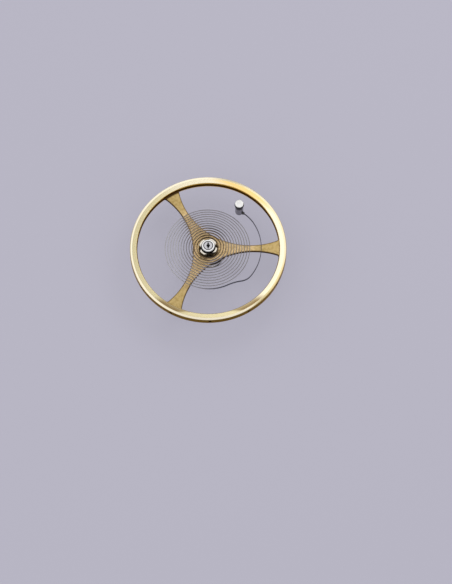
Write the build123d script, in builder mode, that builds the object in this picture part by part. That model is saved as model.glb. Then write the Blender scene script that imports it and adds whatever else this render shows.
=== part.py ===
from build123d import *
from math import cos, hypot, radians, sin, sqrt
import os

# Balance of a small mechanical watch, in millimetres: a three-armed wheel on its staff, with the
# double roller below it, the collet and the hairspring above it, and the stud on the spring's end.
# The origin is the tip of the lower pivot. +Z runs up the staff towards the hairspring, and +X
# runs along one of the three arms.

os.makedirs("parts", exist_ok=True)

# Wheel
wheel_radius = 5.0
rim_width = 0.44
rim_height = 0.50
rim_top = 2.20
rim_slope_width = 0.14  # of the shallow slope round the top face's outer edge
rim_slope_drop = 0.03
rim_inner_bevel = 0.03
rim_foot_bevel = 0.04
arm_count = 3
arm_drop = 0.16  # from the rim's top face down to the arms' top face
arm_thickness = 0.18
arm_waist = 0.42  # an arm's narrowest width
hub_waist_radius = 0.965  # the hub's radius midway between two arms
window_corner_radius = 0.15
web_ledge = 0.03  # left of the web all round the rim's bore
poise_hole_count = 12
poise_hole_radius = 0.10
poise_hole_depth = 0.18
poise_hole_drop = 0.30  # from the rim's top face down to the holes' axes

# Staff, from the bottom up
pivot_radius = 0.05
pivot_length = 0.16
pivot_bevel = 0.01
trumpet_height = 0.18
trumpet_radius = 0.13
trumpet_flare = 0.36  # radius of the trumpet's hollow curve
lower_arbor_radius = 0.21
lower_arbor_bevel = 0.03
roller_seat_radius = 0.25
roller_bottom = 1.05
flange_bottom = 1.58
flange_radius = 0.56
wheel_seat_radius = 0.50
rivet_radius = 0.55
rivet_height = 0.04
collet_seat_radius = 0.43
staff_shoulder = 2.62
shoulder_bevel = 0.03
groove_radius = 0.29
groove_width = 0.03
groove_depth = 0.03
cone_radius = 0.10
cone_height = 0.20
cone_flare = 0.60  # radius of the cone's hollow curve
upper_pivot_tip = 3.00

# Double roller and impulse jewel
table_radius = 1.05
table_bottom = 1.32
table_bevel = 0.03
neck_radius = 0.40
safety_radius = 0.55
safety_top = 1.22
crescent_radius = 0.20
crescent_centre = 0.62
jewel_angle = 180.0
jewel_orbit = 0.80
jewel_radius = 0.14
jewel_flat = 0.07  # from the jewel's axis out to its flat face
jewel_bottom = 0.93
shellac_radius = 0.19
shellac_height = 0.06
shellac_bevel = 0.035

# Collet: a ring with four lobes, the spring being welded to one of them
collet_bottom = 2.10
collet_top = 2.42
collet_lobe_count = 4
collet_lobe_radius = 0.60
collet_lobe_angle = 52.6
collet_notch_radius = 0.28
collet_notch_centre = 0.76
collet_bevel = 0.025

# Hairspring: flat strip on edge, wound outwards anticlockwise as seen from above
strip_thickness = 0.04
strip_height = 0.12
strip_bottom = 2.28
coil_quarter_turns = 51  # after the short first arc
coil_outer_radius = 2.77
coil_end_angle = -65.4
first_arc_sweep = 62.0  # from the weld on the collet to the first quarter turn
coil_drift = 0.12  # how far the outermost turn's centre lies from the axis, towards -Y
lead_out_radius = 2.99
lead_out_turn = 17.6
elbow_radius = 0.93
elbow_turn = 44.4
regulator_radius = 3.26  # the long outer arc, on which the regulator's pins slide
regulator_turn = 68.9
run_in_radius = 2.33
run_in_turn = 25.0

# Stud and its adhesive
stud_body_radius = 0.26
stud_head_radius = 0.31  # at the foot of the head, which tapers to its top
stud_head_top_radius = 0.28
stud_head_height = 0.18
stud_bottom = 2.20
stud_top = 3.45
stud_bevel = 0.03
stud_slot_width = 0.12
stud_slot_height = 0.28
slot_cut_length = 0.90  # longer than the stud is wide
spring_tail = 0.20  # the spring's length past the stud's axis
adhesive_reach = 0.24  # from the stud's axis to each end of the slot's filling
bead_radius = 0.10
bead_offset = 0.30  # from the stud's axis out along the spring

# Worked out from the dimensions above
rim_inner_radius = wheel_radius - rim_width
rim_bottom = rim_top - rim_height
arm_top = rim_top - arm_drop
arm_bottom = arm_top - arm_thickness
arm_half_angle = 180.0 / arm_count


# Wheel: rim, three arms and hub cut from one piece.
# Each window between two arms is the part of a disc, just inside the rim's bore, that lies
# in one large circle. That circle's nearest point to the axis is at the hub's waist radius,
# and it comes to half the waist width from each arm's middle line.
window_outer_radius = rim_inner_radius - web_ledge
window_centre = (hub_waist_radius - arm_waist / 2) / (1 - sin(radians(arm_half_angle)))
window_radius = window_centre - hub_waist_radius
corner_x = (window_outer_radius**2 - window_radius**2 + window_centre**2) / (2 * window_centre)
corner_y = sqrt(window_outer_radius**2 - corner_x**2)

with BuildSketch() as window:
    with BuildLine():
        ThreePointArc((corner_x, -corner_y), (window_outer_radius, 0), (corner_x, corner_y))
        ThreePointArc((corner_x, corner_y), (hub_waist_radius, 0), (corner_x, -corner_y))
    make_face()
    fillet(window.vertices(), window_corner_radius)

with BuildPart() as balance_wheel:
    with BuildSketch(Plane.XY.offset(rim_bottom)):
        Circle(wheel_radius)
        Circle(rim_inner_radius, mode=Mode.SUBTRACT)
    extrude(amount=rim_height)
    top_face = balance_wheel.faces().sort_by(Axis.Z)[-1]
    top_outer_edge = top_face.edges().sort_by(SortBy.RADIUS)[-1]
    chamfer(top_outer_edge, rim_slope_width, length2=rim_slope_drop, reference=top_face)
    chamfer(balance_wheel.edges().group_by(Axis.Z)[-1].sort_by(SortBy.RADIUS)[0], rim_inner_bevel)
    chamfer(balance_wheel.edges().group_by(Axis.Z)[0], rim_foot_bevel)
    with BuildSketch(Plane.XY.offset(arm_bottom)):
        Circle(rim_inner_radius + rim_width / 2)
        with PolarLocations(0, arm_count, start_angle=arm_half_angle):
            add(window.sketch, mode=Mode.SUBTRACT)
        Circle(wheel_seat_radius, mode=Mode.SUBTRACT)
    extrude(amount=arm_thickness)
    for number in range(poise_hole_count):
        angle = radians(number * 360 / poise_hole_count)
        outward = Vector(cos(angle), sin(angle), 0)
        mouth = outward * wheel_radius + Vector(0, 0, rim_top - poise_hole_drop)
        with Locations(Plane(origin=mouth, z_dir=outward)):
            Hole(poise_hole_radius, depth=poise_hole_depth)
balance_wheel.part.label = "balance_wheel"


# Staff: turned in one piece, with a conical root to each pivot.
lower_cone_top = pivot_length + trumpet_height
groove_inner = groove_radius - groove_width / 2
groove_outer = groove_radius + groove_width / 2
upper_cone_top = staff_shoulder + cone_height

with BuildPart() as balance_staff:
    with BuildSketch(Plane.XZ):
        with BuildLine():
            foot = Polyline(
                (0, 0),
                (pivot_radius - pivot_bevel, 0),
                (pivot_radius, pivot_bevel),
                (pivot_radius, pivot_length),
            )
            trumpet = RadiusArc(foot @ 1, (trumpet_radius, lower_cone_top), -trumpet_flare)
            body = Polyline(
                trumpet @ 1,
                (lower_arbor_radius - lower_arbor_bevel, lower_cone_top),
                (lower_arbor_radius, lower_cone_top + lower_arbor_bevel),
                (lower_arbor_radius, roller_bottom),
                (roller_seat_radius, roller_bottom),
                (roller_seat_radius, flange_bottom),
                (flange_radius, flange_bottom),
                (flange_radius, arm_bottom),
                (wheel_seat_radius, arm_bottom),
                (wheel_seat_radius, arm_top),
                (rivet_radius, arm_top),
                (rivet_radius, arm_top + rivet_height / 2),
                (collet_seat_radius, arm_top + rivet_height),
                (collet_seat_radius, staff_shoulder - shoulder_bevel),
                (collet_seat_radius - shoulder_bevel, staff_shoulder),
                (groove_outer, staff_shoulder),
                (groove_outer, staff_shoulder - groove_depth),
                (groove_inner, staff_shoulder - groove_depth),
                (groove_inner, staff_shoulder),
                (cone_radius, staff_shoulder),
            )
            cone = RadiusArc(body @ 1, (pivot_radius, upper_cone_top), -cone_flare)
            Polyline(
                cone @ 1,
                (pivot_radius, upper_pivot_tip - pivot_bevel),
                (pivot_radius - pivot_bevel, upper_pivot_tip),
                (0, upper_pivot_tip),
                (0, 0),
            )
        make_face()
    revolve(axis=Axis.Z)
balance_staff.part.label = "balance_staff"


# Double roller: the impulse table above, and the smaller safety roller with its crescent below.
jewel_direction = Vector(cos(radians(jewel_angle)), sin(radians(jewel_angle)), 0)
jewel_axis = jewel_direction * jewel_orbit
jewel_plane = Plane(origin=jewel_axis, x_dir=jewel_direction, z_dir=(0, 0, 1))

with BuildSketch(jewel_plane) as jewel_section:
    Circle(jewel_radius)
    with Locations((jewel_flat + jewel_radius, 0)):
        Rectangle(jewel_radius * 2, jewel_radius * 2, mode=Mode.SUBTRACT)

with BuildPart() as double_roller:
    with BuildSketch(Plane.XZ):
        with BuildLine():
            Polyline(
                (roller_seat_radius, roller_bottom),
                (safety_radius, roller_bottom),
                (safety_radius, safety_top),
                (neck_radius, safety_top),
                (neck_radius, table_bottom),
                (table_radius - table_bevel, table_bottom),
                (table_radius, table_bottom + table_bevel),
                (table_radius, flange_bottom - table_bevel),
                (table_radius - table_bevel, flange_bottom),
                (roller_seat_radius, flange_bottom),
                close=True,
            )
        make_face()
    revolve(axis=Axis.Z)
    with BuildSketch(Plane.XY.offset(roller_bottom)):
        with Locations(jewel_direction * crescent_centre):
            Circle(crescent_radius)
    extrude(amount=safety_top - roller_bottom, mode=Mode.SUBTRACT)
    with BuildSketch(Plane.XY.offset(table_bottom)):
        add(jewel_section.sketch)
    extrude(amount=flange_bottom - table_bottom, mode=Mode.SUBTRACT)
double_roller.part.label = "double_roller"


# Impulse jewel: an upright D-shaped pin, flush with the top of the roller's table.
with BuildPart() as impulse_jewel:
    with BuildSketch(Plane.XY.offset(jewel_bottom)):
        add(jewel_section.sketch)
    extrude(amount=flange_bottom - jewel_bottom)
    chamfer(impulse_jewel.edges().group_by(Axis.Z)[0], pivot_bevel)
impulse_jewel.part.label = "impulse_jewel"


# Shellac: the bead that holds the jewel, a low round button on top of the table.
with BuildPart() as jewel_shellac:
    with BuildSketch(jewel_plane.offset(flange_bottom)):
        Circle(shellac_radius)
    extrude(amount=shellac_height)
    chamfer(jewel_shellac.edges().group_by(Axis.Z)[-1], shellac_bevel)
jewel_shellac.part.label = "jewel_shellac"


# Collet: four lobes left between four round notches.
with BuildPart() as collet:
    with BuildSketch(Plane.XY.offset(collet_bottom)):
        Circle(collet_lobe_radius)
        notch_angle = collet_lobe_angle + 180 / collet_lobe_count
        with PolarLocations(collet_notch_centre, collet_lobe_count, start_angle=notch_angle):
            Circle(collet_notch_radius, mode=Mode.SUBTRACT)
        Circle(collet_seat_radius, mode=Mode.SUBTRACT)
    extrude(amount=collet_top - collet_bottom)
    outer_edges = collet.edges().group_by(Axis.Z)[-1].sort_by(SortBy.LENGTH)[:-1]
    chamfer(outer_edges, collet_bevel)
collet.part.label = "collet"


# Hairspring: arcs of a quarter turn, each meeting the next at a tangent. Each arc's radius
# is larger than the last one's by a quarter of the pitch, and a little more on the +Y side
# than on the -Y side, so that the outer turns' centre drifts towards -Y.
def unit(angle_in_degrees):
    return Vector(cos(radians(angle_in_degrees)), sin(radians(angle_in_degrees)), 0)


strip_middle = strip_bottom + strip_height / 2
coil_inner_radius = collet_lobe_radius + strip_thickness / 2
coil_turns = coil_quarter_turns / 4
quarter_growth = (coil_outer_radius - coil_inner_radius) / coil_quarter_turns
coil_start_angle = coil_end_angle - 90 * coil_quarter_turns - first_arc_sweep
first_joint_angle = coil_start_angle + first_arc_sweep
first_centre = (unit(first_joint_angle) + unit(first_joint_angle + 90)) * (quarter_growth / 2)
first_radius = coil_inner_radius - first_centre.dot(unit(coil_start_angle))

with BuildPart() as hairspring:
    with BuildLine() as spring_path:
        start = first_centre + unit(coil_start_angle) * first_radius + Vector(0, 0, strip_middle)
        arc = JernArc(start, unit(coil_start_angle + 90), first_radius, first_arc_sweep)
        radius = first_radius
        for quarter in range(coil_quarter_turns):
            joint_angle = first_joint_angle + 90 * quarter
            turns_done = quarter / 4
            drift_per_turn = 2 * coil_drift * turns_done / coil_turns**2
            radius += quarter_growth + drift_per_turn / 2 * sin(radians(joint_angle))
            arc = JernArc(arc @ 1, arc % 1, radius, 90)
        coil_end = arc @ 1
        lead_out = JernArc(arc @ 1, arc % 1, lead_out_radius, -lead_out_turn)
        elbow = JernArc(lead_out @ 1, lead_out % 1, elbow_radius, elbow_turn)
        regulator_arc = JernArc(elbow @ 1, elbow % 1, regulator_radius, regulator_turn)
        run_in = JernArc(regulator_arc @ 1, regulator_arc % 1, run_in_radius, run_in_turn)
        tail = Line(run_in @ 1, run_in @ 1 + (run_in % 1) * (stud_body_radius + spring_tail))
    strip_end = Plane(origin=spring_path.line @ 0, x_dir=(0, 0, 1), z_dir=spring_path.line % 0)
    with BuildSketch(strip_end):
        Rectangle(strip_height, strip_thickness)
    sweep(path=spring_path.line)
hairspring.part.label = "hairspring"


# Stud: a headed steel pillar, slotted up from its foot for the end of the spring.
stud_direction = run_in % 1
stud_centre = run_in @ 1 + stud_direction * stud_body_radius
stud_foot = Vector(stud_centre.X, stud_centre.Y, stud_bottom)
slot_plane = Plane(origin=stud_foot, x_dir=stud_direction, z_dir=(0, 0, 1))

with BuildPart() as stud:
    with BuildSketch(slot_plane):
        Circle(stud_body_radius)
    extrude(amount=stud_top - stud_bottom - stud_head_height)
    chamfer(stud.edges().group_by(Axis.Z)[0], stud_bevel)
    with Locations(slot_plane.offset(stud_top - stud_bottom - stud_head_height)):
        upward = (Align.CENTER, Align.CENTER, Align.MIN)
        Cone(stud_head_radius, stud_head_top_radius, stud_head_height, align=upward)
    with BuildSketch(slot_plane):
        Rectangle(slot_cut_length, stud_slot_width)
    extrude(amount=stud_slot_height, mode=Mode.SUBTRACT)
stud.part.label = "stud"


# Adhesive: fills the stud's slot round the spring, with a bead where the spring comes in.
with BuildPart() as stud_adhesive:
    with BuildSketch(slot_plane):
        Rectangle(adhesive_reach * 2, stud_slot_width)
    extrude(amount=stud_slot_height)
    with Locations(stud_centre - stud_direction * bead_offset):
        Sphere(bead_radius)
    add(stud.part, mode=Mode.SUBTRACT)
    add(hairspring.part, mode=Mode.SUBTRACT)
stud_adhesive.part.label = "stud_adhesive"


pieces = [
    balance_wheel,
    balance_staff,
    double_roller,
    impulse_jewel,
    jewel_shellac,
    collet,
    hairspring,
    stud,
    stud_adhesive,
]
for piece in pieces:
    export_step(piece.part, f"parts/{piece.part.label}.step")

# The spring's least gap to itself, measured between points along its path that have more
# than a given length of strip between them.
sample_count = 6000
sample_stride = 20
least_strip_between = 1.0
spring_wire = spring_path.wires()[0]
spring_length = spring_wire.length
samples = [spring_wire @ (number / sample_count) for number in range(sample_count + 1)]
least_samples_between = least_strip_between / spring_length * sample_count
least_gap = min(
    hypot(samples[first].X - samples[second].X, samples[first].Y - samples[second].Y)
    for first in range(0, sample_count, sample_stride)
    for second in range(sample_count)
    if abs(first - second) > least_samples_between
)
strip_volume = spring_length * strip_height * strip_thickness
print("least gap in the hairspring, mm:", round(least_gap - strip_thickness, 3))
print("length of the hairspring, mm:", round(spring_length, 2))
print("its volume over its section times its length:", hairspring.part.volume / strip_volume)
print("coil ends at", coil_end, "and the stud stands at", stud_centre)
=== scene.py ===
import bmesh
import bpy
import numpy as np
from mathutils import Matrix, Vector


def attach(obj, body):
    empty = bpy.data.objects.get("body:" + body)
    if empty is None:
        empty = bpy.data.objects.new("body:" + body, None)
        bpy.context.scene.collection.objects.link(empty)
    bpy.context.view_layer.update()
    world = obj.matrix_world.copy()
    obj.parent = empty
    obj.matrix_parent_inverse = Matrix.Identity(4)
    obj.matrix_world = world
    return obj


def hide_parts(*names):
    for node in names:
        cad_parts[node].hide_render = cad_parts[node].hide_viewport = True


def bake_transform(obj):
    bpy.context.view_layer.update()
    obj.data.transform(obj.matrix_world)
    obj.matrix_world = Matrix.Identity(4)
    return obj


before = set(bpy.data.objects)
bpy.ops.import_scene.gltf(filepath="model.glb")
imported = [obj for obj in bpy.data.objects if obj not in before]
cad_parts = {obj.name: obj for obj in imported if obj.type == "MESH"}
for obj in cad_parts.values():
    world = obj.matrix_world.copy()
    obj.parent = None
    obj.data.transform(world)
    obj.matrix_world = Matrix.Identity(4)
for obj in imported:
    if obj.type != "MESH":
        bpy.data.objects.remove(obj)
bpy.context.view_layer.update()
print("frame loaded with", len(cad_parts), "nodes")

# Shapes below are worked out in millimetres and stored in metres.
metresPerMillimetre = 0.001


# A socket that takes part in arithmetic: each operation adds its Math node.
class Wire:
    def __init__(self, graph, socket):
        self.graph = graph
        self.socket = socket

    def __add__(self, other):
        return self.graph.maths("ADD", self, other)

    def __radd__(self, other):
        return self.graph.maths("ADD", other, self)

    def __sub__(self, other):
        return self.graph.maths("SUBTRACT", self, other)

    def __rsub__(self, other):
        return self.graph.maths("SUBTRACT", other, self)

    def __mul__(self, other):
        return self.graph.maths("MULTIPLY", self, other)

    def __rmul__(self, other):
        return self.graph.maths("MULTIPLY", other, self)

    def __pow__(self, other):
        return self.graph.maths("POWER", self, other)


# The nodes of a new material, or of the world.
class Graph:
    def __init__(self, owner):
        owner.use_nodes = True
        self.owner = owner
        self.tree = owner.node_tree
        self.tree.nodes.clear()

    # Adds a node: its type, its settings, then what goes into its sockets.
    def node(self, kind, settings, sockets, output=0):
        made = self.tree.nodes.new("ShaderNode" + kind)
        for key, value in settings.items():
            setattr(made, key, value)
        for key, value in sockets.items():
            target = made.inputs[key]
            if isinstance(value, Wire):
                self.tree.links.new(value.socket, target)
            elif target.type == "RGBA":
                target.default_value = (*value, 1)
            else:
                target.default_value = value
        if output is None:
            return [Wire(self, socket) for socket in made.outputs]
        return Wire(self, made.outputs[output])

    def maths(self, operation, *values):
        return self.node("Math", {"operation": operation}, dict(enumerate(values)))

    # 0 below low, 1 above high, and an S-shaped rise between them; high may be the lower one.
    def rise(self, value, low, high):
        sockets = {"Value": value, "From Min": low, "From Max": high}
        return self.node("MapRange", {"interpolation_type": "SMOOTHSTEP"}, sockets)

    # The Mix node has sockets of the same names for each kind of value, so those for colours
    # go by number.
    def mix(self, factor, first, second, mode="MIX"):
        factorSocket, firstSocket, secondSocket, resultSocket = 0, 6, 7, 2
        settings = {"data_type": "RGBA", "blend_type": mode}
        sockets = {factorSocket: factor, firstSocket: first, secondSocket: second}
        return self.node("Mix", settings, sockets, resultSocket)

    # The place on the piece in millimetres, with its distance from an upright axis.
    def place(self, axis=(0, 0)):
        metres = self.node("TexCoord", {}, {}, "Object")
        sockets = {"Vector": metres, "Scale": 1 / metresPerMillimetre}
        point = self.node("VectorMath", {"operation": "SCALE"}, sockets)
        x, y, z = self.node("SeparateXYZ", {}, {"Vector": point}, None)
        across = x - axis[0]
        along = y - axis[1]
        radius = (across * across + along * along) ** 0.5
        return {"point": point, "x": x, "y": y, "z": z, "radius": radius}

    # A mask is the product of its rows. Each names a measure of the place, or a level direction
    # along which the measure is x dx + y dy, and gives the two ends of a rise. A fourth value
    # makes the row a band from low to high, with ends as soft as that.
    def mask(self, at, *rows):
        made = 1
        for way, low, high, *soft in rows:
            value = at[way] if way in at else at["x"] * way[0] + at["y"] * way[1]
            if soft:
                made = self.rise(value, low - soft[0], low + soft[0]) * made
                made = self.rise(value, high + soft[0], high - soft[0]) * made
            else:
                made = self.rise(value, low, high) * made
        return made

    # Lays zones over a colour. Each zone is its colour and the rows of its mask.
    def paint(self, at, colour, zones):
        for zoneColour, *rows in zones:
            colour = self.mix(self.mask(at, *rows), colour, zoneColour)
        return colour

    def noise(self, point, scale, detail=2.0, roughness=0.5):
        if isinstance(point, tuple):
            point = self.node("CombineXYZ", {}, dict(enumerate(point)))
        sockets = {"Vector": point, "Scale": scale, "Detail": detail, "Roughness": roughness}
        return self.node("TexNoise", {}, sockets)

    # Height in millimetres, felt as a tilt of the surface.
    def bump(self, height, depth):
        sockets = {"Height": height, "Distance": depth * metresPerMillimetre}
        return self.node("Bump", {}, sockets)

    # Metal with turning marks, a noise of radius and height that hardly changes along them.
    def metal(self, at, colour, look):
        stretch = 0.02
        marks = self.noise((at["radius"], at["z"], at["x"] * stretch), look["markScale"])
        sockets = {
            "Base Color": colour,
            "Metallic": 1.0,
            "Roughness": look["roughness"] + marks * look["roughnessSpread"],
            "Normal": self.bump(marks, look["markDepth"]),
        }
        return self.surface(sockets)

    def surface(self, sockets):
        shader = self.node("BsdfPrincipled", {}, sockets)
        self.node("OutputMaterial", {}, {"Surface": shader}, None)
        return self.owner


def newFinish(name):
    return Graph(bpy.data.materials.new(name))


# Corners are rows of across, up and rounding. Each inner corner becomes a short curve that
# starts and ends at the rounding's distance from it: corner + start (1 - t)^2 + end t^2.
# Each straight gets a point close to the curve, which keeps its shading flat.
def softChain(corners, steps=4):
    mostOfSide = 0.3
    pointBeyond = 1.5
    corners = np.array(corners, float)
    points = corners[:, :2]
    share = np.linspace(0, 1, steps + 1)[:, None]
    chain = [points[:1]]
    for before, corner, after, rounding in zip(points, points[1:], points[2:], corners[1:-1, 2]):
        backLength = np.linalg.norm(before - corner)
        onLength = np.linalg.norm(after - corner)
        reach = min(rounding, mostOfSide * backLength, mostOfSide * onLength)
        start = (before - corner) / backLength * reach
        end = (after - corner) / onLength * reach
        curve = corner + start * (1 - share) ** 2 + end * share**2
        chain += [corner + start[None] * pointBeyond, curve, corner + end[None] * pointBeyond]
    chain.append(points[-1:])
    return np.vstack(chain)


def fullTurn(steps):
    return np.linspace(0, 2 * np.pi, steps + 1)


# The level direction of a turn, or of each of many.
def towards(turn):
    return np.stack([np.cos(turn), np.sin(turn)], axis=-1)


def addObject(name, data):
    made = bpy.data.objects.new(name, data)
    bpy.context.scene.collection.objects.link(made)
    return made


# A profile of distance and height turned about an upright axis: x = r cos a, y = r sin a.
# The distance may also be a table of profile point by angle.
def turned(distance, height, angles, axis=(0, 0)):
    distance = distance.reshape(len(height), -1)
    across = distance * np.cos(angles) + axis[0]
    along = distance * np.sin(angles) + axis[1]
    upward = np.broadcast_to(height[:, None], across.shape)
    return np.stack([across, along, upward], axis=-1)


# A section of side and up carried along a level path: point = path + side * left + up * z.
# Scale shrinks the section row by row, and a row at 0 closes the end.
def carried(path, heading, section, scale, level):
    left = towards(heading + np.pi / 2)
    side = section[None, :, 0] * scale[:, None]
    upward = section[None, :, 1] * scale[:, None] + level
    flat = path[:, None, :] + side[:, :, None] * left[:, None, :]
    return np.concatenate([flat, upward[:, :, None]], axis=-1)


# A grid turned about the staff's axis, after y is mirrored where that is asked for.
def spun(grid, turn, mirrored=False):
    points = grid * np.array([1, -1 if mirrored else 1, 1])
    rotation = np.array([towards(turn), towards(turn + np.pi / 2)])
    return np.concatenate([points[..., :2] @ rotation, points[..., 2:]], axis=-1)


# Grids of points become one mesh with a face between each four neighbours. Points that fall
# together are one, which closes seams and poles.
def makePiece(name, grids, finish, bodyName, replaced, values=None):
    weldDistance = 3e-8
    points = []
    faces = []
    count = 0
    for grid in grids:
        rows, columns = grid.shape[:2]
        index = np.arange(rows * columns).reshape(rows, columns) + count
        corners = [index[:-1, :-1], index[:-1, 1:], index[1:, 1:], index[1:, :-1]]
        faces.append(np.stack(corners, axis=-1).reshape(-1, 4))
        points.append(grid.reshape(-1, 3))
        count += rows * columns
    mesh = bpy.data.meshes.new(name)
    metres = np.vstack(points) * metresPerMillimetre
    mesh.from_pydata(metres.tolist(), [], np.vstack(faces).tolist())
    if values is not None:
        mesh.attributes.new(values[0], "FLOAT", "POINT").data.foreach_set("value", values[1])
    shell = bmesh.new()
    shell.from_mesh(mesh)
    bmesh.ops.remove_doubles(shell, verts=shell.verts, dist=weldDistance)
    bmesh.ops.recalc_face_normals(shell, faces=shell.faces)
    openEdges = sum(not edge.is_manifold for edge in shell.edges)
    shell.to_mesh(mesh)
    shell.free()
    mesh.polygons.foreach_set("use_smooth", np.ones(len(mesh.polygons), bool))
    mesh.materials.append(finish)
    piece = addObject(name, mesh)
    if bodyName:
        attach(piece, bodyName)
    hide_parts(replaced)
    print(name, "has", len(mesh.polygons), "faces and", openEdges, "open edges")
    return piece


# Fine lines run round the rim over patches of colour. The top, the slope along its outer edge and
# the walls each have colours of their own: the slope's paler gold is partly a painted highlight,
# and the walls' darker brown is partly less polished gilding and partly painted shade.
def giltRimFinish(look):
    graph = newFinish("giltRim")
    at = graph.place()
    x, y, z, radius = (at[name] for name in ("x", "y", "z", "radius"))
    stretch = look["lineStretch"]
    lines = graph.noise((radius, x * stretch, y * stretch), look["lineScale"], 3.0, 0.6)
    patches = graph.noise(at["point"], look["patchScale"], 3.0)
    outerWall = graph.rise(z - (look["top"] - look["slopeDrop"]), *look["wallReach"])
    boreWall = graph.rise(radius - look["boreRadius"], *look["boreReach"])
    wall = graph.maths("MAXIMUM", outerWall, boreWall)
    slopeStart = look["radius"] - look["slopeWidth"]
    slope = graph.rise(radius - slopeStart, *look["slopeReach"])
    topColour = graph.mix(patches, look["topColour"], look["topShadeColour"])
    # Painted highlight and painted reflections on the top.
    topColour = graph.paint(at, topColour, look["topPaintedLightZones"])
    slopeColour = graph.paint(at, look["slopeColour"], look["slopePaintedReflectionZones"])
    # A brown fringe of painted dark reflection follows the slope's outer edge at the sides and in
    # front, apart from one place there, and is wider where the slope is gold. That gold on the
    # lower right and the darker right side of the slope are painted reflections too.
    gold = graph.mask(at, look["goldReflectionRow"])
    slopeColour = graph.mix(gold, slopeColour, look["slopeGoldReflectionColour"])
    fringe = graph.rise(radius + gold * look["fringeGoldWidth"], *look["fringeReach"])
    sideways = graph.maths("ABSOLUTE", x) - y
    fringe = fringe * graph.rise(sideways, *look["fringeSideReach"])
    fringe = fringe * graph.mask(at, look["fringeClearRow"])
    slopeColour = graph.mix(fringe, slopeColour, look["fringeReflectionColour"])
    topColour = graph.mix(slope, topColour, slopeColour)
    # The walls' brown, and the bore's lighter brown, are partly less polished gilding and partly
    # painted shade.
    wallColour = graph.mix(patches, look["wallColour"], look["wallDarkColour"])
    wallColour = graph.mix(boreWall, wallColour, look["boreColour"])
    # Painted shade inside the drilled holes.
    wallColour = graph.paint(at, wallColour, look["holeShadeZones"])
    colour = graph.mix(wall, topColour, wallColour)
    roughness = look["roughness"] + lines * look["roughnessSpread"]
    sockets = {
        "Base Color": graph.mix(lines * look["lineShare"], colour, look["lineColour"]),
        "Metallic": 1.0,
        "Specular Tint": look["grazingColour"],
        "Roughness": graph.maths("MAXIMUM", roughness, wall * look["wallRoughness"]),
        "Normal": graph.bump(lines, look["lineDepth"]),
    }
    return graph.surface(sockets)


# Frosted gilding: grain and mottling darken the colour, the edges are brown with painted shade,
# and the side walls nearly black with painted shade.
def giltArmFinish(look):
    graph = newFinish("giltArms")
    at = graph.place()
    grain = graph.noise(at["point"], look["grainScale"], 4.0, 0.65)
    mottle = graph.noise(at["point"], look["mottleScale"])
    patches = graph.noise(at["point"], look["patchScale"])
    colour = graph.mix(patches, look["colour"], look["warmColour"])
    colour = graph.paint(at, colour, look["outwardZones"])
    mottle = graph.rise(mottle, *look["mottleReach"])
    colour = graph.mix(mottle, colour, look["mottleTint"], "MULTIPLY")
    colour = graph.mix(grain, colour, look["grainTint"], "MULTIPLY")
    # Painted shade along the arms' edges.
    edge = graph.node("Attribute", {"attribute_name": "edgeShade"}, {}, "Fac")
    colour = graph.mix(edge * look["edgeShare"], colour, look["edgeColour"])
    colour = graph.paint(at, colour, look["stepZones"])
    # Painted shade on the side walls.
    side = graph.rise(at["z"] - look["top"], *look["sideReach"])
    sockets = {
        "Base Color": graph.mix(side, colour, look["sideShadeColour"]),
        "Metallic": 1.0,
        "Specular Tint": look["grazingColour"],
        "Roughness": look["roughness"] + (grain - 0.5) * look["roughnessSpread"],
        "Normal": graph.bump(grain, look["grainDepth"]),
    }
    return graph.surface(sockets)


# Steel with patches of tone, and zones that lay painted shade, and on the staff painted
# reflection, over it.
def steelFinish(name, look, axis=(0, 0)):
    graph = newFinish(name)
    at = graph.place(axis)
    patches = graph.noise(at["point"], look["patchScale"])
    colour = graph.mix(patches, look["colour"], look["darkColour"])
    return graph.metal(at, graph.paint(at, colour, look["zones"]), look)


# The strip's polished faces mirror what is below it, and its top edge is darker with painted
# shade. Both grow darker towards the collet with painted shade, and brown over the hub with a
# painted reflection of the gilt; the edge has a painted highlight on the left.
def springFinish(look):
    graph = newFinish("springAlloy")
    at = graph.place()
    patches = graph.noise(at["point"], look["patchScale"])
    face = graph.mix(patches, look["faceColour"], look["faceDarkColour"])
    face = graph.paint(at, face, look["facePaintedLightZones"])
    edge = graph.paint(at, look["edgeColour"], look["edgePaintedLightZones"])
    colour = graph.mix(graph.rise(at["z"], *look["edgeHeight"]), face, edge)
    share = graph.node("Attribute", {"attribute_name": "turnShare"}, {}, "Fac")
    outerCurve = graph.rise(share, *look["outerCurveReach"])
    colour = graph.mix(outerCurve, colour, look["outerCurveColour"])
    return graph.metal(at, colour, look)


def resinFinish(name, look):
    graph = newFinish(name)
    clouds = graph.noise(graph.place()["point"], look["cloudScale"], 3.0)
    cloudRoughness = 0.15
    sockets = {
        "Base Color": graph.mix(clouds, look["colour"], look["cloudColour"]),
        "Roughness": look["roughness"] + clouds * cloudRoughness,
        "IOR": look["refraction"],
        "Transmission Weight": look["transmission"],
        "Coat Weight": look["coat"],
        "Normal": graph.bump(clouds, look["cloudDepth"]),
    }
    return graph.surface(sockets)


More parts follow.
